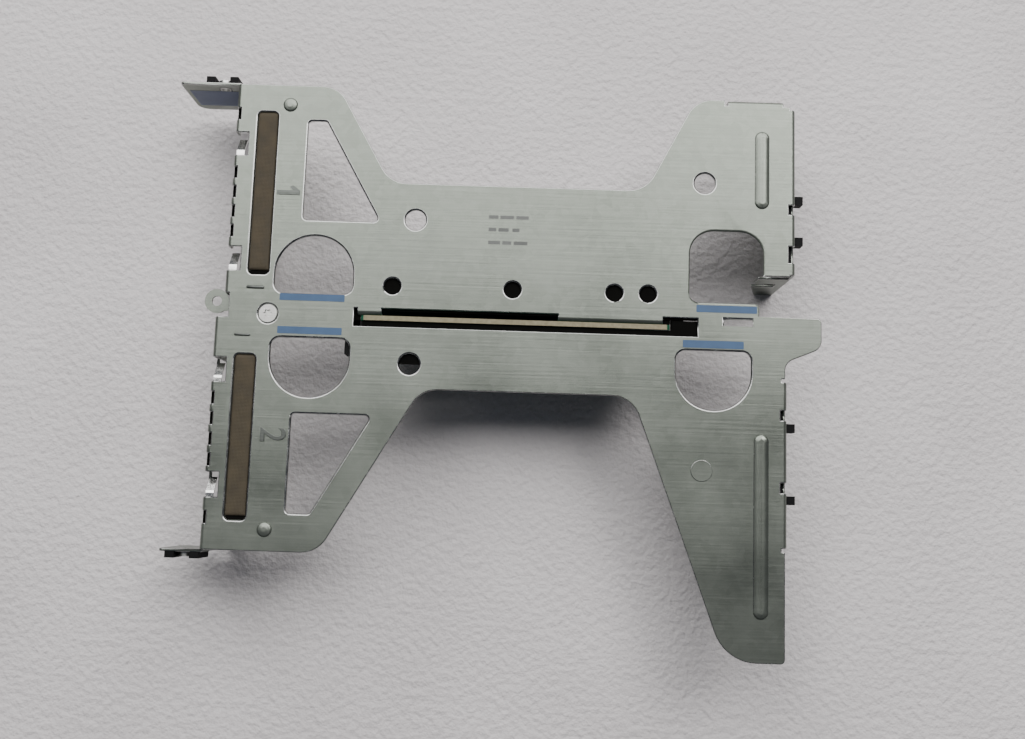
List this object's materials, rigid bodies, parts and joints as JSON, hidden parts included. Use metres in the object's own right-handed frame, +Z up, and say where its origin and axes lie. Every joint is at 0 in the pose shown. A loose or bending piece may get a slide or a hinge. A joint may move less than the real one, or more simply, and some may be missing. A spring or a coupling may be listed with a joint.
{
  "type": "riser card cage",
  "caption": "Folded steel riser cage for a flat server: an upright edge-connector board under a flat plate carries low-profile cards on both sides.",
  "frame": {"origin": "on the resting surface, under the middle of the cage's bounding box", "axes": "+X from the rear wall to the front, +Y towards the upper card slot, +Z up out of the plate"},
  "size_m": [0.2172, 0.1886, 0.0338],
  "materials": {
    "galvanised_sheet": "satin zinc-coated sheet with faint mottling",
    "circuit_board": "green solder mask with a tan cut edge",
    "connector_black": "glass-filled black moulding",
    "contact_gold": "gold-plated contacts",
    "gasket_brown": "matte brown conductive cloth",
    "spring_steel": "bright spring strip",
    "clip_black": "black moulding",
    "screw_steel": "nickel-plated steel",
    "film_black": "matte black film",
    "capacitor_tan": "small fired chips"
  },
  "bodies": {
    "root": {"cage_frame": "galvanised_sheet", "tongue_bracket": "galvanised_sheet", "riser_board": "circuit_board", "slot_connector_upper": "connector_black", "slot_connector_lower": "connector_black", "slot_contacts_upper": "contact_gold", "slot_contacts_lower": "contact_gold", "gasket_strip_upper": "gasket_brown", "gasket_strip_lower": "gasket_brown", "bracket_spring_upper_near": "spring_steel", "bracket_spring_upper_far": "spring_steel", "bracket_spring_lower_near": "spring_steel", "bracket_spring_lower_far": "spring_steel", "retainer_clip_upper": "clip_black", "retainer_clip_lower": "clip_black", "ledge_nut_upper": "screw_steel", "ledge_nut_lower": "screw_steel", "card_guide_upper": "clip_black", "card_guide_lower": "clip_black", "insulator_film_upper": "film_black", "insulator_film_lower": "film_black", "tongue_screw": "screw_steel", "board_screws": "screw_steel", "board_capacitors": "capacitor_tan"}
  },
  "joints": []
}
